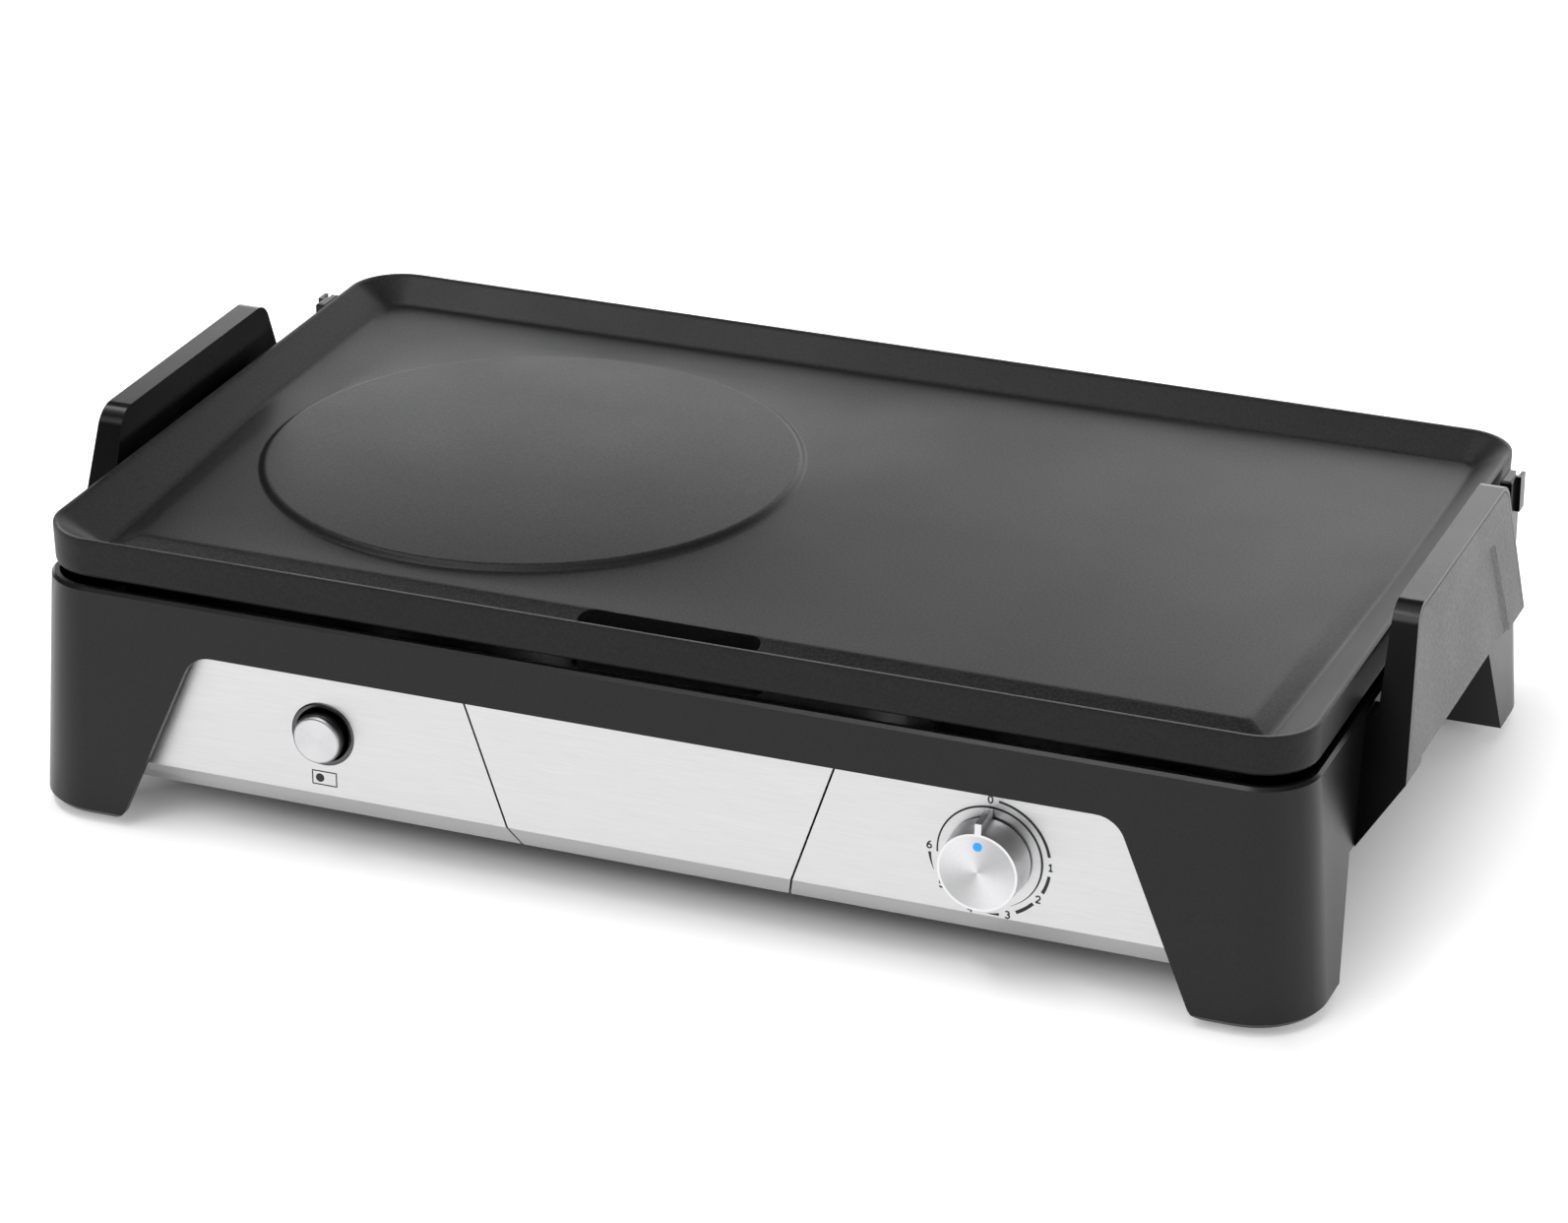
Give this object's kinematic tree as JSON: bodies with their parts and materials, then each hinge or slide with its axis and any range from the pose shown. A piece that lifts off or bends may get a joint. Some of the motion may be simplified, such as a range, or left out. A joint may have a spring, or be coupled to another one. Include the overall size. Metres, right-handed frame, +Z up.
{
  "type": "electric griddle",
  "caption": "Electric table griddle: a cast plate with a round hot zone and juice channel lifts off a black base with side handles, dial, push button and front drip tray.",
  "frame": {"origin": "centre of the bounding box in plan, at the feet", "axes": "+Z up, -Y to the front controls, +X to the dial side"},
  "size_m": [0.5384, 0.319, 0.1314],
  "materials": {
    "plate_nonstick": "dark non-stick coating on cast aluminium, fine texture",
    "black_housing": "satin black moulding",
    "fascia_steel": "fine horizontal brushing",
    "chrome_trim": "polished dark chrome",
    "knob_metal": "spun and satin silver",
    "indicator_blue": "blue translucent",
    "handle_black": "satin black moulding",
    "handle_grain": "fine grained dark grey",
    "rubber_foot": "matt black rubber",
    "inner_steel": "plain sheet steel",
    "reflector_sheet": "aluminised sheet",
    "element_steel": "dark heat-tinted tube",
    "electrical_plastic": "pale heat-proof moulding",
    "wire_insulation": "silicone insulated wire",
    "screw_steel": "zinc plated"
  },
  "bodies": {
    "base": {"base_housing": "black_housing", "bottom_cover": "black_housing", "bottom_cover_screws": "screw_steel", "button_bezel": "chrome_trim", "control_panel_left": "fascia_steel", "control_panel_right": "fascia_steel", "cord_clamp": "electrical_plastic", "cord_gland": "black_housing", "deck_screws": "screw_steel", "element_brackets": "inner_steel", "foot_front_left": "rubber_foot", "foot_front_right": "rubber_foot", "foot_rear_left": "rubber_foot", "foot_rear_right": "rubber_foot", "handle_cover_left": "handle_grain", "handle_cover_right": "handle_grain", "handle_frame_left": "handle_black", "handle_frame_right": "handle_black", "handle_screws_left": "screw_steel", "handle_screws_right": "screw_steel", "heat_reflector": "reflector_sheet", "inner_deck": "black_housing", "main_heating_element": "element_steel", "plate_pads": "rubber_foot", "splash_guard_clip_left": "handle_black", "splash_guard_clip_right": "handle_black", "supply_wires": "wire_insulation", "switch_body": "black_housing", "switch_bracket": "inner_steel", "terminal_block": "electrical_plastic", "terminal_screws": "screw_steel", "thermal_fuse": "electrical_plastic", "thermostat_body": "inner_steel", "thermostat_bracket": "inner_steel", "thermostat_probe": "element_steel", "thermostat_screws": "screw_steel", "tray_rail_left": "black_housing", "tray_rail_right": "black_housing", "zone_heating_element": "element_steel", "zone_wires": "wire_insulation"},
    "plate": {"cooking_plate": "plate_nonstick"},
    "tray": {"drip_tray": "black_housing", "drip_tray_front": "fascia_steel", "tray_front_screws": "screw_steel"},
    "dial": {"thermostat_knob": "knob_metal", "knob_face": "knob_metal", "indicator_lens": "indicator_blue", "thermostat_shaft": "inner_steel"},
    "button": {"zone_button": "chrome_trim", "button_plunger": "electrical_plastic", "button_spring": "inner_steel"}
  },
  "joints": [
    {"name": "plate_lift", "type": "slide", "parent": "base", "child": "plate", "axis": [0, 0, 1], "range_m": [0, 0.055]},
    {"name": "tray_pull", "type": "slide", "parent": "base", "child": "tray", "axis": [0, -1, 0], "range_m": [0, 0.08]},
    {"name": "dial_turn", "type": "hinge", "parent": "base", "child": "dial", "pos_m": [0.1336, -0.1594, 0.048], "axis": [0, 1, 0], "range_deg": [0, 280]},
    {"name": "button_press", "type": "slide", "parent": "base", "child": "button", "axis": [0, 1, 0], "range_m": [0, 0.003], "stiffness_N_per_m": 700, "springref_m": -0.002, "deforming": ["button_spring"]}
  ]
}
